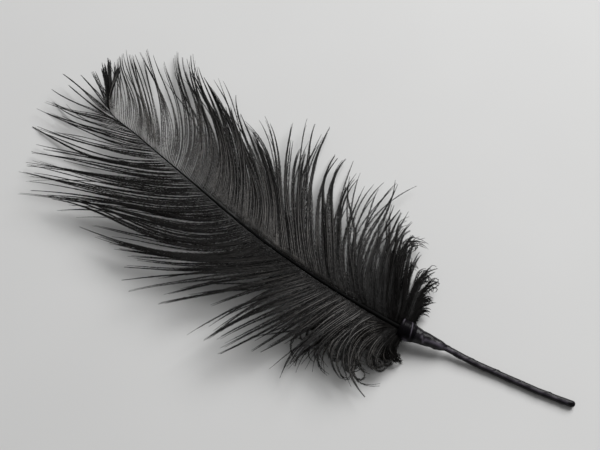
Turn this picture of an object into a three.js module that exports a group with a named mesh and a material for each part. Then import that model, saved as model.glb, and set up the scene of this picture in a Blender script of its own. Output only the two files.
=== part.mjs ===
// An ostrich feather on a taped wire stem, lying on a flat surface.
// Millimetres, +Z up. The feather runs along X: the stem ends at +X and the tip curls at -X.
// It is laid out from the root of the shaft, where the binding holds it, and centred at the end.

import * as THREE from 'three';

// Driving dimensions
const GAP = 0.3;               // left between pieces that touch
const QUILL_RADIUS = 1.5;      // shaft at the binding
const QUILL_END_RADIUS = 1;
const SHAFT_TIP_RADIUS = 0.3;
const WIRE_RADIUS = 0.8;
const STEM_RADIUS = 1.75;      // wire with its tape
const TAPE_STEP = 0.22;        // rise of each tape turn over the last
const TAPE_PITCH = 14.5;       // length of stem that one turn of tape covers
const COLLAR_RADIUS = 6.2;
const COLLAR_LENGTH = 8;
const NECK_RADIUS = 4.6;       // tape over the end of the quill
const NECK_LENGTH = 19;
const VANE_THICKNESS = 3;
const LOCKS = 20;              // pointed bunches of barbs along each vane
const LOCK_NOTCH = 0.12;       // depth of the notch between two bunches, as part of a barb

const point = ([x, y, z]) => new THREE.Vector3(x, y, z);
const { clamp, lerp, smoothstep } = THREE.MathUtils;

// The shaft's centre line, from the end of the quill to the curled tip.
const shaftLine = new THREE.CatmullRomCurve3([
  [17, 4.3, 7], [0, 0, 9.2], [-14, -1.6, 10], [-44, -3.7, 12], [-70, -4, 13], [-97, -3, 13.5],
  [-128, 0.4, 13], [-157, 4.7, 12], [-180, 8, 11], [-208, 12.5, 9], [-234, 16.8, 8],
  [-239, 22, 11], [-241, 28, 15],
].map(point), false, 'centripetal');
shaftLine.arcLengthDivisions = 2000;
const shaftLength = shaftLine.getLength();
const quillLength = 17.7;      // from the end of the quill to the root of the vanes

// The middle line of the tape, from the collar down to the surface and along it.
const stemLine = new THREE.CatmullRomCurve3([
  [4.4, 1, 8.3], [15.4, 3.9, 6.4], [25, 6.4, 4.2], [36, 7.9, 2.9], [53, 11, 2.05],
  [76, 15.2, 1.95], [93, 19.2, 1.95],
].map(point), false, 'centripetal');
stemLine.arcLengthDivisions = 2000;
const stemLength = stemLine.getLength();

// A place on a line: its centre, and the directions across it and upwards.
function placeOn(line, fraction) {
  const centre = line.getPointAt(clamp(fraction, 0, 1));
  const along = line.getTangentAt(clamp(fraction, 0, 1));
  const across = along.clone().cross(new THREE.Vector3(0, 0, 1)).normalize();
  const up = across.clone().cross(along);
  return { centre, across, up };
}

// Turns a profile of [radius, distance] pairs and bends the turned body along a line.
// swell(distance, angle, radius) may move a point of the surface away from the axis.
function turnedAlong(profile, line, sides, swell = () => 0) {
  const length = line.getLength();
  const body = new THREE.LatheGeometry(profile.map(([r, d]) => new THREE.Vector2(r, d)), sides);
  const at = body.attributes.position;
  for (let i = 0; i < at.count; i += 1) {
    const radius = Math.hypot(at.getX(i), at.getZ(i));
    const angle = Math.atan2(at.getX(i), at.getZ(i));
    const distance = at.getY(i);
    const grown = radius < 1e-6 ? 0 : (radius + swell(distance, angle, radius)) / radius;
    const { centre, across, up } = placeOn(line, distance / length);
    centre.addScaledVector(across, at.getX(i) * grown);
    centre.addScaledVector(up, at.getZ(i) * grown);
    at.setXYZ(i, centre.x, centre.y, centre.z);
  }
  return body;
}

function steps(count, from, to, make) {
  return Array.from({ length: count + 1 }, (_, i) => make(lerp(from, to, i / count)));
}

// Shaft: the quill and the tapering ridge of the feather in one, curled up at its tip.
function shaftRadius(distance) {
  if (distance < quillLength) {
    return lerp(QUILL_END_RADIUS, QUILL_RADIUS, distance / quillLength);
  }
  const grown = (distance - quillLength) / (shaftLength - quillLength);
  return lerp(QUILL_RADIUS, SHAFT_TIP_RADIUS, Math.min(grown, 1) ** 0.8);
}

function makeShaft() {
  const wall = steps(56, 0, shaftLength, (d) => [shaftRadius(d), d]);
  return turnedAlong([[0, 0], ...wall, [0, shaftLength]], shaftLine, 10);
}

// Vanes: the barbs of each side as one thin sheet, from the shaft down to the surface.
// Each row is a barb: its root's distance along the shaft, then where its tip lies.
const LEFT_BARBS = [
  [6, [-5, -24, 0.9]], [11, [8, -33, 0.9]], [25, [-33, -52, 0.9]], [38, [-59, -57, 0.9]],
  [55, [-94, -70, 0.9]], [69, [-143, -69, 0.9]], [96, [-193, -56, 0.9]], [128, [-236, -58, 0.9]],
  [157, [-259, -41, 0.9]], [196, [-277, -9, 0.9]], [228, [-284, 20, 3]], [246, [-268, 40, 12]],
];
const RIGHT_BARBS = [
  [6, [-5, 22, 0.9]], [9, [2, 36, 0.9]], [14, [-30, 65, 0.9]], [25, [-52, 77, 0.9]],
  [46, [-95, 82, 0.9]], [63, [-122, 91, 0.9]], [81, [-158, 74, 0.9]], [114, [-204, 86, 0.9]],
  [141, [-222, 90, 0.9]], [173, [-247, 77, 0.9]], [213, [-263, 58, 3]], [246, [-256, 44, 12]],
];
const BARB_BOW = 0.05;         // how far a barb bows sideways, as part of its length
const TOUCHES_FROM = 0.5;      // part of a barb's length after which it lies on the surface
const ROWS = 6;

function makeVane(barbs, side) {
  const reach = new THREE.CatmullRomCurve3(barbs.map(([, tip]) => point(tip)));
  const roots = new THREE.CatmullRomCurve3(barbs.map(([distance]) => point([distance, 0, 0])));
  const sheet = new THREE.BoxGeometry(1, 1, 1, 2 * LOCKS, ROWS, 1);
  const at = sheet.attributes.position;
  for (let i = 0; i < at.count; i += 1) {
    const column = 0.5 - side * at.getX(i);
    const out = at.getY(i) + 0.5;
    const distance = quillLength + roots.getPoint(column).x;
    const { centre, across } = placeOn(shaftLine, distance / shaftLength);
    const root = centre.addScaledVector(across, side * (shaftRadius(distance) + 2 * GAP));
    const tip = reach.getPoint(column);
    const notch = Math.round(column * 2 * LOCKS) % 2 ? 0 : LOCK_NOTCH;
    const v = out * (1 - notch * out);
    const spot = root.clone().lerp(tip, v);
    const bow = new THREE.Vector3(root.y - tip.y, tip.x - root.x, 0);
    spot.addScaledVector(bow, -side * BARB_BOW * 4 * v * (1 - v));
    const middle = lerp(root.z, tip.z, smoothstep(v, 0, TOUCHES_FROM));
    const half = lerp(VANE_THICKNESS, VANE_THICKNESS * 0.7, v) / 2;
    const z = at.getZ(i) > 0 ? Math.max(middle, half) + half : Math.max(middle - half, 0);
    at.setXYZ(i, spot.x, spot.y, z);
  }
  return sheet;
}

// Collar: the first short winding, which grips the quill and the roots of the lowest barbs.
function makeCollar() {
  const start = quillLength - COLLAR_LENGTH / 2;
  const bore = QUILL_RADIUS + GAP + 0.1;
  const bulge = (d) => COLLAR_RADIUS * (0.86 + 0.14 * Math.sin(Math.PI * d / COLLAR_LENGTH));
  const outside = steps(6, 0, COLLAR_LENGTH, (d) => [bulge(d), start + d]);
  const end = start + COLLAR_LENGTH;
  return turnedAlong([[bore, start], ...outside, [bore, end], [bore, start]], shaftLine, 18);
}

// Tape: one strip wound down over the end of the quill and then over the wire to its end.
const QUILL_IN_TAPE = 13;      // length of quill inside the tape, beside the wire
const WIRE_ALONE = 20;         // from here the tape closes on the wire
const BORE = WIRE_RADIUS + GAP;
const WIRE_FLOOR = 3;          // tape left beyond the end of the wire

function tapeRadius(distance) {
  if (distance < NECK_LENGTH) {
    return lerp(NECK_RADIUS, STEM_RADIUS + 0.9, distance / NECK_LENGTH);
  }
  return lerp(STEM_RADIUS + 0.9, STEM_RADIUS, smoothstep(distance, NECK_LENGTH, NECK_LENGTH + 5));
}

// Eases from one value at the mouth to a second at the end of the quill, and to a third beyond it.
function alongNeck(distance, mouth, quillEnd, beyond) {
  if (distance < QUILL_IN_TAPE) {
    return lerp(mouth, quillEnd, distance / QUILL_IN_TAPE);
  }
  const past = (distance - QUILL_IN_TAPE) / (WIRE_ALONE - QUILL_IN_TAPE);
  return lerp(quillEnd, beyond, Math.min(past, 1));
}

function tapeStep(distance, angle, radius) {
  if (radius < tapeRadius(distance) - 0.01) {
    return 0;
  }
  const turn = distance / TAPE_PITCH - angle / (2 * Math.PI);
  return TAPE_STEP * (turn - Math.floor(turn));
}

function makeTape() {
  const round = steps(4, 0, Math.PI / 2, (a) => [
    STEM_RADIUS * Math.cos(a), stemLength - STEM_RADIUS + STEM_RADIUS * Math.sin(a),
  ]);
  const outside = steps(40, 0, stemLength - STEM_RADIUS, (d) => [tapeRadius(d), d]);
  const inside = steps(24, stemLength - WIRE_FLOOR, 0, (d) => [alongNeck(d, 3.05, 2.5, BORE), d]);
  const section = [...outside, ...round.slice(1, -1), [0, stemLength]];
  return turnedAlong(
    [[0, stemLength - WIRE_FLOOR], ...inside, ...section], stemLine, 16, tapeStep);
}

// Wire: a stub wire beside the quill, then along the middle of the tape.
function makeWire() {
  const start = 2.5;
  const end = stemLength - WIRE_FLOOR - GAP;
  const line = new THREE.CatmullRomCurve3(steps(30, start, end, (d) => {
    const { centre, up } = placeOn(stemLine, d / stemLength);
    return centre.addScaledVector(up, -alongNeck(d, 1.85, 1.35, 0));
  }));
  line.arcLengthDivisions = 1000;
  const length = line.getLength();
  const wall = steps(30, 0, length, (d) => [WIRE_RADIUS, d]);
  return turnedAlong([[0, 0], ...wall, [0, length]], line, 8);
}

// Each piece with its name and its own finish.
function piece(name, geometry, color, roughness, metalness = 0) {
  const material = new THREE.MeshStandardMaterial({ color, roughness, metalness });
  const mesh = new THREE.Mesh(geometry, material);
  mesh.name = name;
  return mesh;
}

const feather = new THREE.Group();
feather.add(
  piece('shaft', makeShaft(), 0x17161a, 0.45),
  piece('left_vane', makeVane(LEFT_BARBS, -1), 0x201f1e, 0.8),
  piece('right_vane', makeVane(RIGHT_BARBS, 1), 0x2c2a28, 0.8),
  piece('binding_collar', makeCollar(), 0x121114, 0.35),
  piece('stem_tape', makeTape(), 0x151318, 0.4),
  piece('stem_wire', makeWire(), 0x6d6f70, 0.4, 1),
);

// The origin is the middle of the feather's outline, on the surface that it lies on.
const box = new THREE.Box3().setFromObject(feather, true);
const middle = box.getCenter(new THREE.Vector3());
feather.position.set(-middle.x, -middle.y, -box.min.z);

export default feather;
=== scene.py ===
import math

import bpy
import numpy as np
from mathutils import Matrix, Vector


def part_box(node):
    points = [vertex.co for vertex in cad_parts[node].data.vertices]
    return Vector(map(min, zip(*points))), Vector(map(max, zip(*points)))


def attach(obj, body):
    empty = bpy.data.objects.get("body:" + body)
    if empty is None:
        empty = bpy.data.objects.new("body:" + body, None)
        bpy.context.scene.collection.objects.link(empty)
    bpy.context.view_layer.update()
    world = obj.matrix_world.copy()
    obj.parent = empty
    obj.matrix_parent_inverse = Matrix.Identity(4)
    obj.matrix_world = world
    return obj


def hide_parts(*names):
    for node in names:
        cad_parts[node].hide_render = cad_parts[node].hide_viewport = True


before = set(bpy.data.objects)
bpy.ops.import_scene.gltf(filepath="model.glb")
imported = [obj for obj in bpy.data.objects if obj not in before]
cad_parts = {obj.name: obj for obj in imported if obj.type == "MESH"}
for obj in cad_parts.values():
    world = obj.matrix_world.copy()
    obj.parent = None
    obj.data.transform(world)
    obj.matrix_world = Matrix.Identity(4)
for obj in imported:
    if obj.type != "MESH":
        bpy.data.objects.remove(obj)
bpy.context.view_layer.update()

# ------------------------------------------------------------------------------------------------
# Shaft: the horny quill and ridge of the feather, grown as one tapering rod that bows to one side
# and curls up at its tip. It is dyed black right through and keeps a dull natural gloss.
# Lengths here and below are millimetres from the root of the shaft, in the middle of the binding.

MM = 0.001
collar_low, collar_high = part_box("binding_collar")
ROOT = np.array([collar_low.x + collar_high.x, collar_low.y + collar_high.y, 0]) / 2 / MM

SHAFT_ROUTE = [
    (17, 4.3, 7), (0, 0, 9.2), (-14, -1.6, 10), (-44, -3.7, 12), (-70, -4, 13), (-97, -3, 13.5),
    (-128, 0.4, 13), (-157, 4.7, 12), (-180, 8, 11), (-208, 12.5, 9), (-234, 16.8, 8),
    (-239, 22, 11), (-241, 28, 15),
]
QUILL_IN_BINDING = 17.7
QUILL_END_RADIUS = 1.0
SHAFT_RADIUS = 1.5
SHAFT_TIP_RADIUS = 0.2
SHAFT_TAPER = 0.6              # under 1, it thins fastest near the binding
SHAFT_RINGS = 240
SHAFT_SIDES = 14
HORN_BLACK = (0.002, 0.002, 0.002)
HORN_STREAK = (0.006, 0.006, 0.006)


class Line:
    """A smooth line through points, measured by the distance along it."""

    def __init__(self, points, fine=60):
        points = np.array(points, float)
        before = 2 * points[0] - points[1]
        after = 2 * points[-1] - points[-2]
        points = np.concatenate([[before], points, [after]])
        spans = np.sqrt(np.linalg.norm(np.diff(points, axis=0), axis=1))
        t = np.linspace(0, 1, fine, endpoint=False)[:, None]
        drawn = [self.span(points[i:i + 4], spans[i:i + 3], t) for i in range(len(points) - 3)]
        self.points = np.concatenate(drawn + [points[-2:-1]])
        steps = np.linalg.norm(np.diff(self.points, axis=0), axis=1)
        self.distances = np.concatenate([[0], np.cumsum(steps)])
        self.length = self.distances[-1]

    @staticmethod
    def span(p, d, t):
        """The curve between the middle two of four points p, which are d apart."""
        chord = p[2] - p[1]
        leave = (p[1] - p[0]) / d[0] - (p[2] - p[0]) / (d[0] + d[1]) + chord / d[1]
        arrive = chord / d[1] - (p[3] - p[1]) / (d[1] + d[2]) + (p[3] - p[2]) / d[2]
        leave, arrive = leave * d[1], arrive * d[1]
        return (p[1] + leave * t + (3 * chord - 2 * leave - arrive) * t ** 2
                + (leave + arrive - 2 * chord) * t ** 3)

    def at(self, distance):
        return np.stack([np.interp(distance, self.distances, axis) for axis in self.points.T], -1)

    def frame(self, distance):
        """The directions along the line, across it to the right and upwards."""
        along = unit(self.at(np.add(distance, 0.5)) - self.at(np.subtract(distance, 0.5)))
        across = unit(np.cross(along, [0, 0, 1]))
        return along, across, np.cross(across, along)


def unit(vectors):
    return vectors / np.maximum(np.linalg.norm(vectors, axis=-1, keepdims=True), 1e-9)


def mesh_piece(name, points, faces, finish, chart=None, tones=None):
    """One piece from its points, arrays of like faces, and tones: named values for its points."""
    corners = np.concatenate([group.ravel() for group in faces])
    sizes = np.concatenate([np.full(len(group), group.shape[1]) for group in faces])
    mesh = bpy.data.meshes.new(name)
    mesh.vertices.add(len(points))
    mesh.vertices.foreach_set("co", ((points + ROOT) * MM).ravel())
    mesh.loops.add(len(corners))
    mesh.loops.foreach_set("vertex_index", corners.astype(np.int32))
    mesh.polygons.add(len(sizes))
    mesh.polygons.foreach_set("loop_start", (np.cumsum(sizes) - sizes).astype(np.int32))
    mesh.polygons.foreach_set("use_smooth", np.ones(len(sizes), bool))
    if chart is not None:
        mesh.uv_layers.new(name="OFBake").uv.foreach_set("vector", chart.astype(np.float32).ravel())
    for tone, values in (tones or {}).items():
        layer = mesh.attributes.new(tone, "FLOAT", "POINT")
        layer.data.foreach_set("value", values.astype(np.float32).ravel())
    mesh.update(calc_edges=True)
    mesh.validate()
    mesh.materials.append(finish.material)
    piece = bpy.data.objects.new(name, mesh)
    bpy.context.scene.collection.objects.link(piece)
    return piece


def skin(rings):
    """The faces of a closed skin over rings of points, with a flat face at each end."""
    count, sides = rings.shape[:2]
    number = np.arange(count * sides).reshape(count, sides)
    turned = np.roll(number, -1, axis=1)
    walls = np.stack([number[:-1], turned[:-1], turned[1:], number[1:]], -1).reshape(-1, 4)
    return [walls, number[:1, ::-1], number[-1:]]


def rod_rings(line, distances, radii, sides):
    """Rings of points round a line; radii may hold one radius a ring or one a point."""
    angles = np.linspace(0, 2 * math.pi, sides, endpoint=False)
    _, across, up = line.frame(distances)
    outward = (across[:, None] * np.cos(angles)[:, None] + up[:, None] * np.sin(angles)[:, None])
    return line.at(distances)[:, None] + outward * np.reshape(radii, (len(distances), -1, 1))


class Finish:
    """One material on a Principled shader, with its nodes added one at a time."""

    def __init__(self, name, **uniform):
        self.material = bpy.data.materials.new(name)
        self.material.use_nodes = True
        self.nodes = self.material.node_tree.nodes
        self.shader = self.nodes["Principled BSDF"]
        for socket, value in uniform.items():
            self.shader.inputs[socket.replace("_", " ")].default_value = value

    def node(self, kind, settings=None, sockets=None, result=0):
        made = self.nodes.new(kind)
        for setting, value in (settings or {}).items():
            if setting == "stops":
                self.set_stops(made.color_ramp, value)
            else:
                setattr(made, setting, value)
        for socket, value in (sockets or {}).items():
            if isinstance(value, Value):
                self.material.node_tree.links.new(value.socket, made.inputs[socket])
            else:
                made.inputs[socket].default_value = value
        return Value(self, made.outputs[result])

    @staticmethod
    def set_stops(ramp, stops):
        while len(ramp.elements) < len(stops):
            ramp.elements.new(0.5)
        for element, (place, colour) in zip(ramp.elements, stops):
            element.position = place
            element.color = (*colour, 1)

    def set(self, socket, value):
        self.material.node_tree.links.new(value.socket, self.shader.inputs[socket])


class Value:
    """A node's output: an expression with it adds Math nodes to its finish."""

    def __init__(self, finish, socket):
        self.finish = finish
        self.socket = socket

    def maths(self, operation, first, second):
        return self.finish.node("ShaderNodeMath", {"operation": operation}, {0: first, 1: second})

    def __add__(self, other):
        return self.maths("ADD", self, other)

    def __sub__(self, other):
        return self.maths("SUBTRACT", self, other)

    def __rsub__(self, other):
        return self.maths("SUBTRACT", other, self)

    def __mul__(self, other):
        return self.maths("MULTIPLY", self, other)

    __radd__ = __add__
    __rmul__ = __mul__


def grain(finish, size, detail=2.0, stretch=(1, 1, 1)):
    """Soft noise from 0 to 1 with patches of about the given size in millimetres."""
    place = finish.node("ShaderNodeTexCoord", result="Object")
    scaled = finish.node("ShaderNodeMapping", {}, {"Vector": place, "Scale": stretch})
    return finish.node("ShaderNodeTexNoise", {},
                       {"Vector": scaled, "Scale": 1 / (size * MM), "Detail": detail})


def tint(finish, amount, dark, light):
    """A colour between dark and light by amount."""
    return finish.node("ShaderNodeValToRGB", {"stops": [(0, dark), (1, light)]}, {"Fac": amount})


def bump(finish, height, depth, strength=1.0):
    """A surface normal raised by height times depth, in millimetres."""
    return finish.node("ShaderNodeBump", {},
                       {"Height": height, "Distance": depth * MM, "Strength": strength})


shaft_line = Line(SHAFT_ROUTE)
FEATHER_LENGTH = shaft_line.length - QUILL_IN_BINDING


def shaft_radius(distance):
    """The shaft's radius at a distance from its root; less than nothing is inside the binding."""
    grown = np.clip(distance / FEATHER_LENGTH, 0, 1) ** SHAFT_TAPER
    inside = np.clip(-distance / QUILL_IN_BINDING, 0, 1)
    blade = SHAFT_RADIUS + (SHAFT_TIP_RADIUS - SHAFT_RADIUS) * grown
    return blade + (QUILL_END_RADIUS - SHAFT_RADIUS) * inside


def horn_finish():
    finish = Finish("black_horn", Specular_IOR_Level=0.03)
    streaks = grain(finish, size=1.2, stretch=(0.08, 1, 1))
    finish.set("Base Color", tint(finish, streaks, HORN_BLACK, HORN_STREAK))
    finish.set("Roughness", 0.5 + 0.25 * grain(finish, size=2.5))
    finish.set("Normal", bump(finish, streaks, depth=0.08))
    return finish


shaft_steps = np.linspace(0, shaft_line.length, SHAFT_RINGS)
shaft_radii = shaft_radius(shaft_steps - QUILL_IN_BINDING)
shaft_rings = rod_rings(shaft_line, shaft_steps, shaft_radii, SHAFT_SIDES)
shaft = mesh_piece("feather_shaft", shaft_rings.reshape(-1, 3), skin(shaft_rings), horn_finish())
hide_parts("shaft")
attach(shaft, "root")

# ------------------------------------------------------------------------------------------------
# Barbs: each vane is a row of loose barbs along one side of the shaft. A barb is a fine springy
# thread edged on both sides with soft barbules, which have no hooks, so the barbs part and cling
# together in pointed locks. They spring out from the shaft, droop, and lie on the surface.

TUFT_FROM = 238                # the last barbs stand up in a tuft round the curled end
# The room between the roots of two barbs, at distances along the shaft.
BARB_SPACING = {
    0: 0.6, 60: 0.65, 110: 0.8, 190: 1.15, 215: 1.5, TUFT_FROM - 2: 1.5, TUFT_FROM: 0.38,
}
DOWN_SPACING = 0.18
DOWN_LOOSENESS = 0.1           # how much further its strands lean apart, in radians

# Chosen barbs of each vane: the root's distance along the shaft, then how far the barb has come
# from its root at one third, two thirds and the whole of its length, the height of its tip, and
# how much it clings to its neighbours.
LEFT_BARBS = [
    (0, (-3, -9), (-1, -18), (7, -17), 5, 0.2),
    (3, (-3, -13), (0, -26), (13, -27), 6, 0.3),
    (9, (-4, -15), (-3, -31), (14, -42), 7, 0.5),
    (14, (-8, -19), (-4, -37), (15, -49), 10, 0.5),
    (20, (-5, -19), (-6, -38), (9, -51), 13.5, 0.6),
    (25, (-4, -18), (-8, -38), (-5, -55), 16, 0.6),
    (38, (-6, -20), (-11, -40), (-18, -62), 17, 0.5),
    (48, (-9, -24), (-19, -48), (-29, -74), 17, 0.3),
    (55, (-13, -23), (-26, -46), (-36, -73), 17, 0.3),
    (63, (-13, -22), (-27, -43), (-41, -67), 17, 0.3),
    (72, (-23, -25), (-46, -47), (-71, -72), 17, 0.3),
    (96, (-24, -29), (-57, -46), (-92, -56), 15, 0.35),
    (102, (-31, -30), (-72, -42), (-114, -58), 13, 0.4),
    (128, (-32, -25), (-71, -41), (-112, -59), 10, 0.5),
    (157, (-32, -19), (-68, -34), (-105, -47), 4.5, 0.6),
    (172, (-30, -16), (-65, -27), (-100, -35), 2, 0.6),
    (196, (-27, -11), (-56, -17), (-86, -20), 2, 0.6),
    (218, (-22, -4), (-44, -7), (-66, -6), 2, 0.5),
    (231, (-18, -1), (-37, 1), (-55, 4), 7, 0.5),
    (238, (-15, 4), (-30, 8), (-46, 11), 10, 0.5),
    (240, (-9, 8), (-16, 14), (-23, 19), 15, 0.4),
    (246, (-7, 8), (-13, 14), (-19, 19), 17, 0.4),
    (254, (-5, 6), (-8, 11), (-12, 15), 18, 0.4),
]
RIGHT_BARBS = [
    (0, (-2, 11), (-2, 20), (1, 25), 5, 0.2),
    (2, (-3, 14), (-5, 27), (-2, 38), 5, 0.3),
    (4, (-4, 16), (-8, 32), (-6, 47), 5, 0.3),
    (7, (-7, 19), (-14, 38), (-17, 54), 5, 0.4),
    (12, (-12, 21), (-20, 43), (-23, 65), 4, 0.6),
    (20, (-12, 22), (-19, 48), (-23, 72), 4, 0.9),
    (25, (-16, 24), (-23, 52), (-27, 80), 4, 0.9),
    (29, (-20, 25), (-33, 55), (-38, 85), 4, 0.9),
    (38, (-21, 24), (-37, 52), (-47, 82), 4, 0.9),
    (46, (-23, 24), (-41, 52), (-50, 83), 4, 0.9),
    (59, (-26, 28), (-45, 62), (-57, 95), 4, 0.8),
    (64, (-26, 29), (-46, 62), (-59, 94), 4, 0.5),
    (70, (-25, 28), (-48, 57), (-62, 84), 4, 0.3),
    (81, (-25, 27), (-50, 53), (-75, 71), 4, 0.4),
    (90, (-21, 29), (-46, 51), (-71, 67), 4, 0.5),
    (102, (-24, 34), (-56, 57), (-82, 75), 4, 0.5),
    (114, (-25, 34), (-56, 60), (-86, 77), 4, 0.5),
    (141, (-19, 36), (-51, 59), (-81, 84), 4, 0.5),
    (163, (-17, 32), (-43, 58), (-71, 84), 4, 0.4),
    (173, (-19, 29), (-48, 52), (-78, 75), 4, 0.4),
    (189, (-21, 20), (-45, 39), (-71, 58), 4, 0.4),
    (213, (-14, 18), (-34, 31), (-54, 48), 4, 0.4),
    (228, (-11, 12), (-23, 25), (-34, 37), 6, 0.6),
    (237, (-7, 10), (-13, 20), (-19, 30), 8, 0.6),
    (240, (-5, 9), (-9, 16), (-13, 22), 15, 0.4),
    (246, (-3, 8), (-6, 14), (-9, 20), 17, 0.4),
    (254, (-2, 6), (-4, 11), (-6, 16), 18, 0.4),
]
# Down: longer, looser barbs that leave the binding in all directions and lie over the lowest ones.
LEFT_DOWN = [
    (-2, (-2, -9), (1, -15), (7, -12), 5, 0.0),
    (2, (-3, -10), (-2, -21), (7, -27), 5, 0.2),
    (4, (-9, -12), (-12, -25), (-8, -38), 6, 0.3),
    (6, (-15, -11), (-22, -26), (-25, -44), 7, 0.5),
    (8, (-18, -12), (-29, -27), (-43, -54), 6, 0.6),
    (12, (-20, -14), (-36, -30), (-58, -55), 6, 0.5),
]
RIGHT_DOWN = [
    (-3, (-2, 9), (-2, 14), (0, 19), 7, 0.1),
    (1, (-2, 13), (-3, 23), (0, 32), 7, 0.2),
    (3, (-3, 15), (-6, 30), (-5, 43), 7, 0.2),
    (5, (-5, 17), (-11, 33), (-16, 48), 7, 0.3),
    (8, (-9, 18), (-19, 35), (-29, 52), 6, 0.4),
    (12, (-14, 20), (-26, 40), (-40, 61), 6, 0.4),
]

BARB_STEPS = 28
ALONG_BARB = np.linspace(0, 1, BARB_STEPS + 1)


def smooth(values, low, high):
    """Eases from 0 at the low value to 1 at the high one."""
    t = np.clip((values - low) / (high - low), 0, 1)
    return t * t * (3 - 2 * t)


def along_feather(distances, sizes):
    """A size that changes along the shaft, from its values at a few distances."""
    return np.interp(distances, list(sizes), list(sizes.values()))


def barb_roots(first, dice):
    """The distances along the shaft from which barbs grow."""
    roots = [first]
    while roots[-1] < FEATHER_LENGTH - 1:
        roots.append(roots[-1] + along_feather(roots[-1], BARB_SPACING) * dice.uniform(0.8, 1.2))
    return np.array(roots[:-1])


def bunches(count, smallest, largest, dice):
    """The bunch that each of a row of things belongs to, and the middle one of that bunch."""
    bunch = np.zeros(count, int)
    middle = np.zeros(count, int)
    first = number = 0
    while first < count:
        last = min(first + dice.integers(smallest, largest + 1), count)
        bunch[first:last] = number
        middle[first:last] = (first + last - 1) // 2
        first, number = last, number + 1
    return bunch, middle


def turn_along(paths, angles):
    """Turns each step of the paths about the upright by the angle at its end, so that they bend."""
    steps = np.diff(paths, axis=1)
    cos, sin = np.cos(angles[:, 1:]), np.sin(angles[:, 1:])
    x = steps[..., 0] * cos - steps[..., 1] * sin
    y = steps[..., 0] * sin + steps[..., 1] * cos
    turned = np.cumsum(np.stack([x, y, steps[..., 2]], -1), axis=1)
    return np.concatenate([paths[:, :1], paths[:, :1] + turned], axis=1)


def plan_barbs(barbs, distances):
    """The plan, tip height and clinging of barbs at any distances, from the chosen ones round them."""
    known = [barb[0] for barb in barbs]
    thirds = np.array([barb[1:4] for barb in barbs], float).reshape(len(barbs), 6)
    thirds = np.stack([np.interp(distances, known, part) for part in thirds.T], -1).reshape(-1, 3, 2)
    heights = np.interp(distances, known, [barb[4] for barb in barbs])
    cling = np.interp(distances, known, [barb[5] for barb in barbs])

    # A cubic curve from the root through the places at the thirds of the barb.
    v = ALONG_BARB
    blend = np.stack([13.5 * v * (v - 2 / 3) * (v - 1), -13.5 * v * (v - 1 / 3) * (v - 1),
                      4.5 * v * (v - 1 / 3) * (v - 2 / 3)])
    return np.einsum("kv,nkj->nvj", blend, thirds), heights, cling


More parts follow.
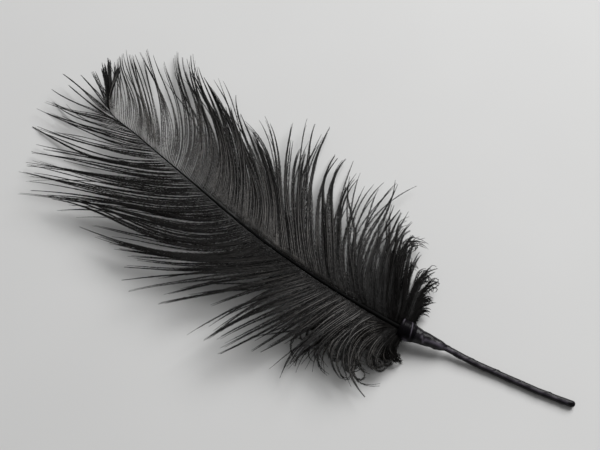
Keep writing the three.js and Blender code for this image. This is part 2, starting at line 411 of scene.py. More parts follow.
class Row:
    """Barbs that grow side by side: neighbours cling in strands, and strands in locks."""

    BARBS_IN_STRAND = (2, 4)
    STRANDS_IN_LOCK = (2, 4)
    REST_HEIGHT = 0.35         # of a barb's middle line where it lies on the surface

    # Distances along the shaft between which there is a change.
    CROWDED_TO = (40, 120)     # barbs get less crowded
    FIRM_FROM = (110, 200)     # strands close nearer to the shaft
    FREE_FROM = (130, 190)     # locks close less

    # Amounts in the open feather, with what is added where barbs are crowded.
    LENGTH = (1.03, 0.08)      # of the longest barbs, as a part of the plan
    BROKEN = (0.04, 0.15)      # the most that is lost from a tip
    RAGGED = (1, 0.7)          # how much of the vane's raggedness there is
    LAYERS = (0.5, 1.3)        # spread of heights among neighbours
    STRAYS = (0.09, 0.04)      # the part of the barbs that cling to no others
    LEAN = (0.012, 0.02)       # spread of angles among neighbours
    STRAY_LEAN = (0.1, 0.04)

    # The middle barbs of a strand and a lock are longest: what the others lose for each barb away.
    STRAND_POINT, LOCK_POINT = 0.03, 0.02

    # How barbs stand between the shaft and their tips.
    FLANK = 0.5                # how far aside they leave the shaft, as a part of its radius
    DROOP = 1.2                # over 1, a barb droops more near its tip
    ARCH, ARCH_SPREAD = 1.2, 0.7
    LOCK_LAYERS, STRAND_LAYERS = 1.2, 0.6      # spreads of heights, which grow towards the tips
    LIFT_SPREAD = 0.4          # spread of heights from the shaft on

    # Spreads of the angles by which bunches and barbs bend sideways, in radians.
    LOCK_LEAN, STRAND_LEAN = 0.03, 0.02
    LEAN_GAIN = 1.6            # times all leaning, at a barb's tip
    STRAND_SPLAY = 0.16        # near its tip
    STRAND_SWING, BARB_SWING = 0.05, 0.02
    WAVES = (3, 8)             # how far a wave of that swing gets in a barb, in radians
    LOCK_BELLY = 0.05          # to one side and back to the other

    # How firmly bunches close, and over which part of their barbs.
    FIRM, LOOSENED = 0.45, 3   # added to the clinging of strands, and times their looseness
    STRAND_GRIP, LOCK_GRIP = (0.8, 1.0), (0.0, 0.85)
    STRAND_CLOSES, STRAND_CLOSING = 0.3, 0.55  # where they begin to close, and over how much
    STRAND_NEARER = 0.18       # how much sooner the firmest ones begin
    LOCK_CLOSES = (0.35, 1.0)
    LOCK_FREED = 0.5           # the part of their grip that the freest ones lose

    # Hooks at the ends of the lowest barbs.
    HOOKED = 0.75              # the part of the strands that have them
    HOOK_LEAST, HOOK_MORE, HOOK_SPREAD = 0.4, 4.6, 0.3      # their turn in radians
    HOOK_STARTS, HOOK_START_SPREAD = (0.4, 0.92), 0.09      # where on a barb they start

    def __init__(self, vane, distances, dice, loose=0.0):
        self.vane = vane
        self.side = vane["side"]
        self.distances = distances
        self.count = len(distances)
        self.dice = dice
        self.loose = loose
        self.strand, self.leader = bunches(self.count, *self.BARBS_IN_STRAND, dice)
        lock, chief = bunches(self.strand[-1] + 1, *self.STRANDS_IN_LOCK, dice)
        self.lock = lock[self.strand]
        self.chief = self.leader[np.searchsorted(self.strand, chief)][self.strand]
        self.crowded = 1 - smooth(distances, *self.CROWDED_TO)

    def grow(self, barbs):
        """The middle lines of the barbs, by the chosen ones."""
        plan, tip_height, cling = plan_barbs(barbs, self.distances)
        plan *= self.lengths()[:, None, None]
        paths = self.lay(plan, tip_height)
        stray = self.dice.random(self.count) < self.here(self.STRAYS)
        paths = self.sway(paths, cling, stray)
        paths = self.gather(paths, cling, stray)
        paths = self.hook(paths)
        paths[..., 2] = np.maximum(paths[..., 2], self.REST_HEIGHT)
        return paths

    def here(self, amounts):
        """An amount for each barb, by how crowded it is."""
        return amounts[0] + amounts[1] * self.crowded

    def by(self, bunch, spread):
        """A chance amount for each bunch, the same for all its barbs."""
        return self.dice.normal(0, spread, bunch[-1] + 1)[bunch]

    def lengths(self):
        """The lengths of the barbs, as parts of the plan. Bunches end in points."""
        order = np.arange(self.count)
        pointed = self.STRAND_POINT * np.abs(order - self.leader)
        pointed = pointed + self.LOCK_POINT * np.abs(order - self.chief)
        pointed *= self.dice.uniform(0.3, 1.7, self.count)
        broken = self.dice.random(self.count) ** 2 * self.here(self.BROKEN)
        ragged = np.abs(self.by(self.strand, self.vane["ragged"])) * self.here(self.RAGGED)
        return self.here(self.LENGTH) - (pointed + (broken + ragged))

    def lay(self, plan, tip_height):
        """Paths from the shaft's flank, which arch and droop to the heights of the barbs' tips."""
        along_shaft = QUILL_IN_BINDING + self.distances
        _, across, _ = shaft_line.frame(along_shaft)
        thick = shaft_radius(self.distances)[:, None]
        flank = self.side * across * thick * self.FLANK
        root = shaft_line.at(along_shaft) + flank + [0, 0, self.vane["root_up"]] * thick

        v = ALONG_BARB
        drop = (tip_height - root[:, 2])[:, None] * v ** self.DROOP
        arch = self.dice.normal(self.ARCH, self.ARCH_SPREAD, self.count)[:, None] * np.sin(math.pi * v)
        spring = self.vane["spring"] * smooth(v, 0, 0.1) * (1 - v) ** 2
        layer = self.by(self.lock, self.LOCK_LAYERS) + self.by(self.strand, self.STRAND_LAYERS)
        layer = layer + self.dice.normal(0, self.here(self.LAYERS))
        lift = self.dice.normal(0, self.LIFT_SPREAD, self.count)[:, None] * smooth(v, 0, 0.08)
        height = root[:, 2:] + drop + (arch + spring) + lift + layer[:, None] * v
        return np.concatenate([root[:, None, :2] + plan, height[..., None]], axis=2)

    def sway(self, paths, cling, stray):
        """Bends barbs sideways by angles in radians, for the most part as their bunches bend."""
        v = ALONG_BARB
        lean = self.by(self.lock, self.LOCK_LEAN) * cling
        lean = lean + self.by(self.strand, self.STRAND_LEAN + self.loose)
        own_lean = np.where(stray, self.here(self.STRAY_LEAN), self.here(self.LEAN))
        lean = lean + self.dice.normal(0, own_lean)
        splay = self.by(self.strand, self.STRAND_SPLAY) * cling
        swing = self.by(self.strand, self.STRAND_SWING)
        swing = swing + self.dice.normal(0, self.BARB_SWING, self.count)
        waves = self.dice.uniform(*self.WAVES, self.count)[self.leader][:, None]
        wave = swing[:, None] * np.sin(v * waves + self.by(self.strand, 3)[:, None])
        belly = (self.by(self.lock, self.LOCK_BELLY) * cling)[:, None]
        belly = belly * np.sin(2 * math.pi * v + self.by(self.lock, 1)[:, None])
        bend = lean[:, None] * v * self.LEAN_GAIN + splay[:, None] * v ** 3 + wave * v + belly
        return turn_along(paths, bend)

    @staticmethod
    def close(paths, middle, grip, begin, end):
        """Draws each barb to the middle one of its bunch, more and more from begin to end."""
        pull = grip[:, None] * smooth(ALONG_BARB, begin, end)
        return paths + pull[..., None] * (paths[middle] - paths)

    def gather(self, paths, cling, stray):
        """Closes the strands, and then the locks. Stray barbs stay apart."""
        nearer = self.STRAND_NEARER * smooth(self.distances, *self.FIRM_FROM)
        begin = (self.STRAND_CLOSES - nearer)[:, None]
        grip = (self.FIRM + cling - self.LOOSENED * self.loose).clip(0, 1)
        grip = grip * self.dice.uniform(*self.STRAND_GRIP, self.count)[self.leader]
        grip = np.where(stray, 0.0, grip)
        paths = self.close(paths, self.leader, grip, begin, begin + self.STRAND_CLOSING)
        grip = cling * self.dice.uniform(*self.LOCK_GRIP, self.count)[self.chief]
        grip = np.where(stray, 0.0, grip)
        grip *= 1 - self.LOCK_FREED * smooth(self.distances, *self.FREE_FROM)
        return self.close(paths, self.chief, grip, *self.LOCK_CLOSES)

    def hook(self, paths):
        """Ends the lowest barbs in hooks and rings."""
        hooked_to = self.vane["hooked_to"]
        hooked = (self.dice.random(self.count) < self.HOOKED)[self.leader]
        hooked = hooked * (1 - smooth(self.distances, hooked_to / 3, hooked_to))
        turn = self.dice.normal(0, self.HOOK_SPREAD, self.count)
        more = self.HOOK_MORE * self.dice.random(self.count) ** 1.7
        turn = turn - self.side * (self.HOOK_LEAST + more)[self.leader]
        start = self.vane["hook_from"] + self.by(self.strand, self.HOOK_START_SPREAD)
        start = start.clip(*self.HOOK_STARTS)[:, None]
        return turn_along(paths, (turn * hooked)[:, None] * smooth(ALONG_BARB, start, 1.0) ** 1.4)


BARB_RADIUS = 0.23
BARB_TIP_RADIUS = 0.06
BARB_TAPER = 0.7               # under 1, it thins fastest near its tip
BARB_SIDES = 3


def barb_threads(paths):
    """Closed three-sided threads along the paths, one edge up: their rings, walls and end faces."""
    count, steps = paths.shape[:2]
    radii = BARB_TIP_RADIUS + (BARB_RADIUS - BARB_TIP_RADIUS) * (1 - ALONG_BARB) ** BARB_TAPER
    along = unit(np.gradient(paths, axis=1))
    across = unit(np.cross(along, [0, 0, 1]))[:, :, None]
    up = np.cross(across, along[:, :, None])
    angles = np.array([0.5, 7 / 6, 11 / 6])[:, None] * math.pi
    rings = paths[:, :, None] + (across * np.cos(angles) + up * np.sin(angles)) * radii[:, None, None]
    number = np.arange(count * steps * BARB_SIDES).reshape(count, steps, BARB_SIDES)
    turned = np.roll(number, -1, axis=2)
    walls = np.stack([number[:, :-1], turned[:, :-1], turned[:, 1:], number[:, 1:]], -1)
    ends = np.concatenate([number[:, 0, ::-1], number[:, -1]])
    return rings.reshape(-1, 3), walls.reshape(-1, 4), ends


BARBULE_SPACING = 0.282        # between two on the same edge of a barb
BARBULE_WIDTH = 0.225
FEWEST_BARBULES = 4
BARBULE_REST_HEIGHT = 0.15
BARBULES_GROW = (0.01, 0.995)  # the part of a barb that has them
BARBULE_LENGTHS = (0.7, 1.15)  # shortest and longest, as parts of the reach
BARBULE_NARROWS = 0.25         # the part of their width that is lost at a barb's tip
# The reach of the barbules near the shaft and at the tip of a barb, at distances along the shaft.
BARBULE_REACH = {0: 3.6, 60: 3.2, 120: 2.6, 190: 1.6, TUFT_FROM - 2: 1.3, TUFT_FROM + 4: 2.1}
BARBULE_TIP_REACH = {0: 2.2, 50: 1.8, 100: 1.6, TUFT_FROM - 2: 1.4, TUFT_FROM + 4: 1.9}
# Their angles in radians: the least one with the barb, the part of it that is left in their outer
# half, and how they roll about the barb, which differs from one to the next and in waves.
BARBULE_ANGLE = 0.15
BARBULE_SETTLES = 0.6
BARBULE_ROLL, BARBULE_ROLL_SPREAD, BARBULE_ROLL_WAVE = -0.4, 0.3, 0.5
BARBULE_TWIST_SPREAD = 0.5


def barbule_reach(root, tip, v):
    """The reach at the part v of a barb: less where the barb leaves the shaft, and least at its tip."""
    reach = root + (tip - root) * smooth(v, 0.35, 0.85)
    return reach * ((0.4 + 0.6 * smooth(v, 0, 0.12)) * (1 - 0.75 * smooth(v, 0.8, 1)))


def lancets(starts, bends, ends, widths):
    """Slim leaves of four points each, pointed at both ends and widest where they bend."""
    points = np.stack([starts, bends - widths, ends, bends + widths], 1).reshape(-1, 3)
    first = np.arange(len(starts))[:, None] * 4
    return points, np.concatenate([first + [0, 1, 3], first + [1, 2, 3]], 1).reshape(-1, 3)


def barbules(paths, roots, dice):
    """Barbules along both edges of every barb, with the barb and the part of it each grows from."""
    lengths = np.linalg.norm(np.diff(paths, axis=1), axis=2).sum(1)
    counts = np.maximum((lengths * 2 / BARBULE_SPACING).astype(int), FEWEST_BARBULES)
    barb = np.repeat(np.arange(len(paths)), counts)
    order = np.arange(len(barb)) - np.repeat(np.cumsum(counts) - counts, counts)
    edge = np.where(order % 2, 1.0, -1.0)[:, None]
    v = np.clip((order + dice.uniform(0, 1, len(barb))) / counts[barb], *BARBULES_GROW)

    step = np.minimum((v * BARB_STEPS).astype(int), BARB_STEPS - 1)
    start, following = paths[barb, step], paths[barb, step + 1]
    along = unit(following - start)
    start = start + (following - start) * (v * BARB_STEPS - step)[:, None]
    across = unit(np.cross(along, [0, 0, 1])) * edge
    up = np.cross(across, along) * edge

    # They lie close to the barb or stand off it, rolled a little under its edges, and bend back to it.
    near_shaft = along_feather(roots, BARBULE_REACH)[barb]
    reach = barbule_reach(near_shaft, along_feather(roots, BARBULE_TIP_REACH)[barb], v)
    reach = (reach * dice.uniform(*BARBULE_LENGTHS, len(v)))[:, None]
    spread = dice.random(len(v)) ** 1.4 * (0.75 - 0.5 * v)
    angle = (BARBULE_ANGLE + spread * (0.25 + 0.75 * near_shaft / BARBULE_REACH[0]))[:, None]
    roll = dice.normal(BARBULE_ROLL, BARBULE_ROLL_SPREAD, len(v))
    roll = (roll + BARBULE_ROLL_WAVE * np.sin(9 * v + 7 * barb))[:, None]
    sideways = across * np.cos(roll) + up * np.sin(roll)
    leave = along * np.cos(angle) + sideways * np.sin(angle)
    angle = angle * BARBULE_SETTLES
    settle = along * np.cos(angle) + sideways * np.sin(angle)
    bend = start + leave * reach / 2
    end = bend + settle * reach / 2
    twist = dice.normal(0, BARBULE_TWIST_SPREAD, len(v))[:, None]
    flat = unit(np.cross(leave, up + across * twist))
    widths = flat * BARBULE_WIDTH / 2 * (1 - BARBULE_NARROWS * v)[:, None]
    for place in (start, bend, end):
        place[:, 2] = np.maximum(place[:, 2], BARBULE_REST_HEIGHT)
    return *lancets(start, bend, end, widths), barb, v


# In the chart each barb has a strip of its own: a row for each wall of its thread, then its two
# end faces, and above them its barbules, which lie over each other where they grow from the same
# place. Heights are parts of the strip's height.
WALL_ROW = 0.15
WALL_FILL = 0.9                # the part of its row that a wall takes up
END_CORNERS = np.array([(0.0, 0.46), (0.01, 0.46), (0.005, 0.49)])
LEAF_HEIGHT = 0.75
LEAF_HALF_HEIGHT = 0.22
LEAF_HALF_LENGTH = 0.6         # in steps of the barb


def barb_chart(count, barb, place):
    """The chart of some barbs, for their walls, their end faces and then their barbules."""
    strip = 1 / count
    low = np.arange(count) * strip
    ahead = np.array([0, 0, 1, 1]) / BARB_STEPS
    wall_u = (ALONG_BARB[:-1, None] + ahead)[None, :, None]
    wall_row = np.arange(BARB_SIDES)[:, None] + np.array([0, 1, 1, 0]) * WALL_FILL
    wall_v = low[:, None, None, None] + strip * WALL_ROW * wall_row
    shape = (count, BARB_STEPS, BARB_SIDES, 4)
    walls = np.stack([np.broadcast_to(wall_u, shape), np.broadcast_to(wall_v, shape)], -1)
    end_u = np.tile(END_CORNERS[:, 0], (count, 1))
    end_u = np.concatenate([end_u, 1 - end_u])
    end_v = np.tile(low, 2)[:, None] + strip * END_CORNERS[:, 1]
    leaf_u = place[:, None] + LEAF_HALF_LENGTH / (BARB_STEPS + 1) * np.array([-1, 0, 0, 0, 1, 0])
    leaf_v = low[barb] + strip * LEAF_HEIGHT
    leaf_v = leaf_v[:, None] + strip * LEAF_HALF_HEIGHT * np.array([0, -1, 1, -1, 0, 1])
    return np.concatenate([walls.reshape(-1, 2),
                           np.stack([end_u, end_v], -1).reshape(-1, 2),
                           np.stack([leaf_u, leaf_v], -1).reshape(-1, 2).clip(0, 1)])


BARBS_OF_ONE_TONE = (2, 6)
PALE_TO = (0.35, 0.8)          # the parts of a barb from which it darkens, and is dark
PALE_LONGER = 0.3              # how much later the lowest barbs darken
PALE_LONGER_TO = (10, 30)      # distances along the shaft up to which they do


def vane_piece(name, paths, roots, vane, finish, dice):
    """One piece from the threads of some barbs and their barbules."""
    count, steps = paths.shape[:2]
    thread_points, walls, ends = barb_threads(paths)
    leaf_points, leaves, barb, place = barbules(paths, roots, dice)

    # A barb has half of its tone to itself and half from its bunch.
    tone = dice.uniform(0, vane["tone"], (2, count))
    _, middle = bunches(count, *BARBS_OF_ONE_TONE, dice)
    tone = (tone[0] + tone[1][middle]) / 2
    tones = np.concatenate([np.repeat(tone, steps * BARB_SIDES), np.repeat(tone[barb], 4)])

    # Threads are painted pale from the shaft on, the lowest ones for more of their length: partly the
    # paler dye of bare threads, partly painted sheen. Beside the shaft they are kept dark as painted
    # shade.
    pale = along_feather(np.linalg.norm(paths, axis=2), vane["paleness"])
    longer = PALE_LONGER * (1 - smooth(roots, *PALE_LONGER_TO))[:, None]
    pale = pale * (1 - smooth(ALONG_BARB - longer, *PALE_TO)) * smooth(ALONG_BARB, 0, vane["groove_shade"])
    threads = np.concatenate([np.repeat(pale, BARB_SIDES, axis=1).ravel(), np.zeros(len(leaf_points))])

    points = np.concatenate([thread_points, leaf_points])
    faces = [walls, ends, leaves + len(thread_points)]
    chart = barb_chart(count, barb, place)
    return mesh_piece(name, points, faces, finish, chart, {"tone": tones, "thread": threads})


DYED_BLACK = (0.003, 0.0028, 0.0028)
# The light end of the barbs' tint: paler dye on bare threads, mixed with painted sheen.
WORN_AND_SHEEN_THREAD = (0.15, 0.14, 0.13)


def barb_finish(name, gloss):
    """Black dye, with bare threads made paler in patches: partly dye rubbed off, partly painted sheen.
    """
    finish = Finish(name, Specular_IOR_Level=gloss, Coat_Roughness=0.35)
    strand = finish.node("ShaderNodeAttribute", {"attribute_name": "tone"}, result="Fac")
    thread = finish.node("ShaderNodeAttribute", {"attribute_name": "thread"}, result="Fac")
    patch = grain(finish, size=9)
    # Patches in which the threads' paleness (partly rubbed-off dye, partly painted sheen) comes and
    # goes.
    wear_and_sheen = 2.4 * grain(finish, size=2.2) - 0.5
    shade = strand * 0.04 + patch * 0.02 + thread * (0.25 + strand * 0.65) * wear_and_sheen
    finish.set("Base Color", tint(finish, shade, DYED_BLACK, WORN_AND_SHEEN_THREAD))
    finish.set("Roughness", 0.5 + 0.2 * patch)
    finish.set("Coat Weight", thread * 0.4)
    return finish


barb_black = barb_finish("black_barbs", gloss=0.2)
down_black = barb_finish("black_down", gloss=0.03)

STRETCHES = {
    "lower_barbs": (0, 45), "middle_barbs": (45, 100),
    "upper_barbs": (100, 175), "tip_barbs": (175, 260),
}


def place_barbs(vane, part, paths, roots, finish, dice):
    piece = vane_piece(f"{vane['name']}_{part}", paths, roots, vane, finish, dice)
    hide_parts(f"{vane['name']}_vane")
    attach(piece, "root")


def grow_vane(vane, barbs, down, seed):
    """All the barbs of one side, as one piece for each stretch of the shaft, and then its down."""
    dice = np.random.default_rng(seed)
    roots = barb_roots(0.5, dice)
    paths = Row(vane, roots, dice).grow(barbs)
    for part, (start, end) in STRETCHES.items():
        chosen = (roots >= start) & (roots < end)
        place_barbs(vane, part, paths[chosen], roots[chosen], barb_black, dice)
    roots = np.arange(down[0][0], down[-1][0], DOWN_SPACING)
    paths = Row(vane, roots, dice, DOWN_LOOSENESS).grow(down)
    place_barbs(vane, "down", paths, roots, down_black, dice)


LEFT_VANE = {
    "name": "left",
    "side": -1,                # of the shaft: -1 for its left, 1 for its right
    "root_up": -0.1,           # how high on the shaft barbs leave it, as a part of its radius
    "spring": -0.2,            # how far they rise at once, above the rest of their arch
    "hooked_to": 36,           # how far along the shaft barbs end in hooks
    "hook_from": 0.64,         # the part of such a barb that is straight
    "ragged": 0.11,            # how much strands differ in length
    "tone": 1.0,               # how much barbs differ in tone
    "groove_shade": 0.25,            # the part of a barb beside the shaft whose thread is kept dark, as painted shade
    # How pale threads are painted, at distances from the binding: kept black by the binding as painted
    # shade, and elsewhere partly paler dye, partly painted sheen. The right vane, which faces the
    # light, is paler than the left over most of its length.
    "paleness": {0: 0, 17: 0.1, 28: 3.2, 45: 2.6, 80: 0.7, 120: 0.3},
}
RIGHT_VANE = {
    "name": "right",
    "side": 1,
    "root_up": 0.7,
    "spring": 1.2,
    "hooked_to": 14,
    "hook_from": 0.84,
    "ragged": 0.05,
    "tone": 0.6,
    "groove_shade": 0.04,
    "paleness": {0: 0, 30: 0, 55: 0.7, 80: 2.0, 180: 1.8, 215: 3.6},
}
grow_vane(LEFT_VANE, LEFT_BARBS, LEFT_DOWN, seed=26)
grow_vane(RIGHT_VANE, RIGHT_BARBS, RIGHT_DOWN, seed=27)

# ------------------------------------------------------------------------------------------------
# Binding collar: the first turns of tape, wound tight round the root of the shaft to grip it and
# the lowest barbs. The strip is waxed crepe, stretched as it is wound, so its edges stand up in
# fine lips and its slack is pinched into a fold.

COLLAR_RADIUS = 6.2
COLLAR_LENGTH = 8.0
COLLAR_LAP = 1.2               # how far its last turn laps over the stem tape
COLLAR_TURNS = 3
COLLAR_RINGS = 93
COLLAR_SIDES = 72
COLLAR_LIP = 0.088             # height of the strip's edges, which are pulled down tight
COLLAR_END = 0.78              # part of its radius that it has at its ends
COLLAR_BARREL = 0.13           # part of its radius that is added at its middle
COLLAR_ROUNDED = (0.9, 0.8)    # what its first and last rings keep of their radius
COLLAR_LUMPS = 0.12            # height of the lumps in its winding

# What stands up on the collar: its distance along it and about half its width, its angle from the
# collar's right side over its top and about half the angle it takes up, in radians, and its height.
RIM_PLACE, RIM_WIDTH, RIM_ANGLE, RIM_REACH, RIM_HEIGHT = 7.3, 0.35, 0.7, 0.45, 0.6
EDGE_PLACE, EDGE_WIDTH, EDGE_ANGLE, EDGE_REACH, EDGE_HEIGHT = 1.95, 0.28, 1.45, 0.8, 0.5
FOLD_PLACE, FOLD_WIDTH, FOLD_ANGLE, FOLD_REACH, FOLD_HEIGHT = 3.0, 1.3, 3.05, 0.2, 1.0
EDGE_SLANT = 0.87              # how far the strip's edge moves along the collar in a radian round it

WAX_BLACK = (0.002, 0.0017, 0.0023)
# The colour of the painted highlight on the tape's creases, rim, fold and lips.
WAX_HIGHLIGHT = (0.19, 0.17, 0.21)


def waxed_tape_finish(name, axis_stretch, gloss):
    """Black waxed crepe, with a violet-grey painted highlight laid on its creases, rim, fold and lips.
    """
    finish = Finish(name, Specular_IOR_Level=gloss)
    crepe = grain(finish, size=0.5, stretch=axis_stretch)
    smear = grain(finish, size=6)
    # Where each point of the rod carries the painted highlight.
    crease = finish.node("ShaderNodeAttribute", {"attribute_name": "crease"}, result="Fac")
    shade = smear * 0.01 + crepe * 0.015 + crease * (0.5 + crepe * 0.6)
    finish.set("Base Color", tint(finish, shade, WAX_BLACK, WAX_HIGHLIGHT))
    finish.set("Roughness", 0.2 + 0.2 * smear)
    finish.set("Normal", bump(finish, crepe, depth=0.12, strength=0.6))
    return finish


WALLS_WIDE = 0.9               # the part of a chart's width that is for the walls of a rod
DISC_RADIUS = 0.04
DISC_PLACES = [0.95, 0.05], [0.95, 0.95]


def rod_chart(rings, sides):
    """A chart of a closed rod: one row a ring, with the two end faces in the last column."""
    place = np.arange(rings - 1)[:, None, None] + np.array([0, 0, 1, 1])
    turn = np.arange(sides)[None, :, None] + np.array([0, 1, 1, 0])
    walls = np.stack(np.broadcast_arrays(turn / sides * WALLS_WIDE, place / (rings - 1)), -1)
    angles = np.linspace(0, 2 * math.pi, sides, endpoint=False)
    disc = DISC_RADIUS * np.stack([np.cos(angles), np.sin(angles)], -1)
    return np.concatenate([walls.reshape(-1, 2), disc + DISC_PLACES[0], disc + DISC_PLACES[1]])


def grow_rod(line, distances, radii, crease, name, finish):
    """A closed rod along a line, from its radii and painted highlight: one row a ring, one column a
    side.
    """
    count, sides = radii.shape
    rings = rod_rings(line, distances, radii, sides)
    return mesh_piece(name, rings.reshape(-1, 3), skin(rings), finish, rod_chart(count, sides),
                      {"crease": np.clip(crease, 0, 1)})


def round_grid(places, sides):
    """The distances and the angles of the points of a rod, as a column and a row."""
    return places[:, None], np.linspace(0, 2 * math.pi, sides, endpoint=False)[None, :]


def ripple(distance, angle, seed, waves, longest, turns):
    """Soft lumps over a tube: a sum of sines in distance and angle that meets itself round it."""
    dice = np.random.default_rng(seed)
    total = np.zeros(np.broadcast(distance, angle).shape)
    for _ in range(waves):
        pitch = longest * dice.uniform(0.35, 1)
        total += np.sin(distance * 2 * math.pi / pitch + dice.integers(-turns, turns + 1) * angle
                        + dice.uniform(0, 2 * math.pi))
    return total / waves


def bulge(place, middle, width):
    """A smooth hump of height 1 round the middle."""
    return np.exp(-((place - middle) / width) ** 2)


def turned_by(angle, middle):
    """The shorter way round from the middle angle, in radians."""
    return (angle - middle + math.pi) % (2 * math.pi) - math.pi


collar_places = np.linspace(-COLLAR_LAP, COLLAR_LENGTH, COLLAR_RINGS)
distance, angle = round_grid(collar_places, COLLAR_SIDES)
from_end = distance + COLLAR_LAP
middle_out = np.sin(math.pi * from_end / (COLLAR_LENGTH + COLLAR_LAP))
barrel = COLLAR_RADIUS * (COLLAR_END + COLLAR_BARREL * middle_out)
wound = from_end / COLLAR_LENGTH * COLLAR_TURNS + angle / (2 * math.pi)
lips = (wound % 1.0) ** 4
past_edge = turned_by(angle, EDGE_ANGLE)
edge = bulge(distance + EDGE_SLANT * past_edge, EDGE_PLACE, EDGE_WIDTH)
edge = edge * bulge(past_edge, 0, EDGE_REACH)
rim = bulge(distance, RIM_PLACE, RIM_WIDTH) * bulge(turned_by(angle, RIM_ANGLE), 0, RIM_REACH)
fold = bulge(distance, FOLD_PLACE, FOLD_WIDTH) * bulge(turned_by(angle, FOLD_ANGLE), 0, FOLD_REACH)
lumps = ripple(distance, angle, seed=3, waves=6, longest=6, turns=4)
collar_radii = (barrel + COLLAR_LIP * lips + EDGE_HEIGHT * edge + RIM_HEIGHT * rim
                + FOLD_HEIGHT * fold + COLLAR_LUMPS * lumps)
collar_radii[0] *= COLLAR_ROUNDED[0]
collar_radii[-1] *= COLLAR_ROUNDED[1]
collar_start = QUILL_IN_BINDING - COLLAR_LENGTH / 2
# The edge, rim and fold are raised, and they also carry a painted highlight.
collar_painted_highlight = 0.9 * (edge + rim + fold)
collar = grow_rod(shaft_line, collar_start + collar_places, collar_radii, collar_painted_highlight,
                  "wound_collar", waxed_tape_finish("collar_tape", (1, 0.3, 0.3), gloss=0.04))
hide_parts("binding_collar")
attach(collar, "root")

# ------------------------------------------------------------------------------------------------
# Stem tape: one long strip wound in a slow spiral, from the end of the quill down over the wire
# and closed over its end. It is crumpled where it steps down from the quill, and its free edge runs
# along the top of the stem as a low ridge. Its creases and that ridge carry a painted highlight.

STEM_ROUTE = [
    (4.4, 1, 8.3), (15.4, 3.9, 6.4), (25, 6.4, 4.2), (36, 7.9, 2.9), (53, 11, 2.05),
    (76, 15.2, 1.95), (94.5, 19.6, 1.95),
]
STEM_RADIUS = 1.75
NECK_RADIUS = 4.6
NECK_END_RADIUS = 2.75
NECK_LENGTH = 15.5
NECK_STEP = 4                  # length over which it steps down from the quill to the wire
TAPE_PITCH = 14.5
TAPE_LIP = 0.22                # height of the strip's edge at each turn
CREASE_HEIGHT = 0.3
CRUMPLE_HEIGHT = 0.1
NECK_CRUMPLE_HEIGHT = 0.2      # added where it steps down from the quill
STEM_RINGS = 340
END_RINGS = 14                 # over its round end
END_SPOT = 0.02                # the flat spot in its middle, as a part of the stem's radius
STEM_SIDES = 34

# Creases on its upper side, raised and carrying a painted highlight: from and to a distance and an
# angle, then width and strength.
CREASES_WITH_HIGHLIGHT = [
    ((4.2, 1.2), (5.4, 0.7), 1.0, 1.0),
    ((6.5, 1.0), (13.0, 1.15), 0.9, 0.9),
    ((13.0, 1.2), (16.4, 1.0), 1.1, 0.9),
    ((17.0, 1.05), (27.0, 1.15), 0.6, 0.8),
    ((28.0, 1.15), (88.0, 1.15), 0.45, 0.6),
]


def stroke(distance, angle, radius, start, end, width):
    """A smooth streak of height 1 on a tube, between two places given as distance and angle."""
    along = np.clip((distance - start[0]) / (end[0] - start[0]), 0, 1)
    past = distance - start[0] - (end[0] - start[0]) * along
    aside = turned_by(angle, start[1] + (end[1] - start[1]) * along) * radius
    return np.exp(-(past ** 2 + aside ** 2) / width ** 2)


stem_line = Line(STEM_ROUTE)
tube = np.linspace(0, stem_line.length - STEM_RADIUS, STEM_RINGS)
round_end = np.linspace(0, math.pi / 2, END_RINGS)[1:]
end_places = stem_line.length - STEM_RADIUS * (1 - np.sin(round_end) * 0.999)
stem_places = np.concatenate([tube, end_places])
distance, angle = round_grid(stem_places, STEM_SIDES)
neck = NECK_RADIUS + (NECK_END_RADIUS - NECK_RADIUS) * np.clip(distance / NECK_LENGTH, 0, 1)
stepped = smooth(distance, NECK_LENGTH, NECK_LENGTH + NECK_STEP)
stem_radii = neck + (STEM_RADIUS - NECK_END_RADIUS) * stepped
wound = distance / TAPE_PITCH - angle / (2 * math.pi)
lips = (wound % 1.0) ** 5
crumpled = 1 - smooth(distance, NECK_LENGTH * 0.8, NECK_LENGTH * 1.4)
lumps = ripple(distance, angle, seed=5, waves=7, longest=11, turns=3)
streaks = [strength * stroke(distance, angle, stem_radii, start, end, width)
           for start, end, width, strength in CREASES_WITH_HIGHLIGHT]
pinched = np.maximum.reduce(streaks) * (0.75 + 0.6 * lumps)
crumple = (CRUMPLE_HEIGHT + NECK_CRUMPLE_HEIGHT * crumpled) * lumps
stem_radii = stem_radii + TAPE_LIP * lips + crumple + CREASE_HEIGHT * pinched
stem_radii[-len(round_end):] *= np.cos(round_end)[:, None].clip(END_SPOT)
# The creases carry a painted highlight, and the lips of the tape a faint one.
stem_painted_highlight = 0.9 * pinched + 0.05 * lips
stem_tape = grow_rod(stem_line, stem_places, stem_radii, stem_painted_highlight, "wound_stem_tape",
                     waxed_tape_finish("stem_tape_wax", (0.3, 1, 1), gloss=0.15))
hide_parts("stem_tape")
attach(stem_tape, "root")

# ------------------------------------------------------------------------------------------------
# Stem wire: a stub of bare annealed steel, which stiffens the stem inside the tape. It was drawn
# through a die, which leaves fine scratches along it.

STEEL = (0.09, 0.09, 0.095)
STEEL_SCRATCH = (0.22, 0.22, 0.23)


def drawn_steel_finish():
    finish = Finish("drawn_steel", Metallic=1.0)
    scratches = grain(finish, size=0.2, stretch=(0.05, 1, 1))
    finish.set("Base Color", tint(finish, scratches, STEEL, STEEL_SCRATCH))
    finish.set("Roughness", 0.3 + 0.3 * scratches)
    return finish


wire = bpy.data.objects["stem_wire"]
wire.material_slots[0].material = drawn_steel_finish().material

# ------------------------------------------------------------------------------------------------
# Studio: a pale floor, a broad soft light from the far side, a weak one from above and a little
# light from all round.

FLOOR_SIZE = 6.0               # metres
FLOOR_SHADE = (0.66, 0.66, 0.655)
FLOOR_LIGHT = (0.70, 0.70, 0.695)

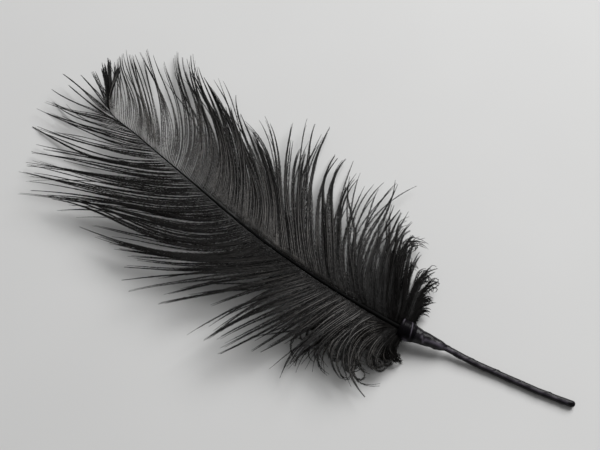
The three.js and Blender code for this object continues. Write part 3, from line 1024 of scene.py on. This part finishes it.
half = FLOOR_SIZE / 2
floor_mesh = bpy.data.meshes.new("floor")
floor_mesh.from_pydata(
    [(-half, -half, 0), (half, -half, 0), (half, half, 0), (-half, half, 0)], [], [(0, 1, 2, 3)])
floor = bpy.data.objects.new("floor", floor_mesh)
bpy.context.scene.collection.objects.link(floor)
floor_finish = Finish("pale_floor", Roughness=0.9, Specular_IOR_Level=0.1)
floor_finish.set("Base Color",
                 tint(floor_finish, grain(floor_finish, size=120), FLOOR_SHADE, FLOOR_LIGHT))
floor_mesh.materials.append(floor_finish.material)


def soft_light(name, azimuth, elevation, distance, size, power):
    """A square area light that faces the feather: angles in degrees, metres and watts."""
    a, e = math.radians(azimuth), math.radians(elevation)
    away = Vector((math.cos(a) * math.cos(e), math.sin(a) * math.cos(e), math.sin(e)))
    data = bpy.data.lights.new(name, "AREA")
    data.size = size
    data.energy = power
    light = bpy.data.objects.new(name, data)
    light.location = away * distance
    light.rotation_euler = away.to_track_quat("Z", "Y").to_euler()
    bpy.context.scene.collection.objects.link(light)


soft_light("window", azimuth=84, elevation=44, distance=2.4, size=1.6, power=66)
soft_light("ceiling", azimuth=60, elevation=78, distance=2.0, size=2.4, power=3.5)

ROOM_GREY = (0.95, 0.95, 0.95, 1)
ROOM_STRENGTH = 0.15
world = bpy.data.worlds.new("room")
world.use_nodes = True
background = world.node_tree.nodes["Background"]
background.inputs["Color"].default_value = ROOM_GREY
background.inputs["Strength"].default_value = ROOM_STRENGTH
bpy.context.scene.world = world

CAMERA_AZIMUTH = math.radians(36)
CAMERA_ELEVATION = math.radians(60)
CAMERA_DISTANCE = 0.5          # metres
LOOKS_AT = Vector((0.00624, 0.0144, 0))
back = Vector((math.sin(CAMERA_AZIMUTH) * math.cos(CAMERA_ELEVATION),
               -math.cos(CAMERA_AZIMUTH) * math.cos(CAMERA_ELEVATION),
               math.sin(CAMERA_ELEVATION)))
lens = bpy.data.cameras.new("camera")
lens.lens = 50
lens.sensor_width = 36
camera = bpy.data.objects.new("camera", lens)
camera.location = LOOKS_AT + back * CAMERA_DISTANCE
camera.rotation_euler = back.to_track_quat("Z", "Y").to_euler()
bpy.context.scene.collection.objects.link(camera)
bpy.context.scene.camera = camera
bpy.context.scene.view_settings.view_transform = "Standard"
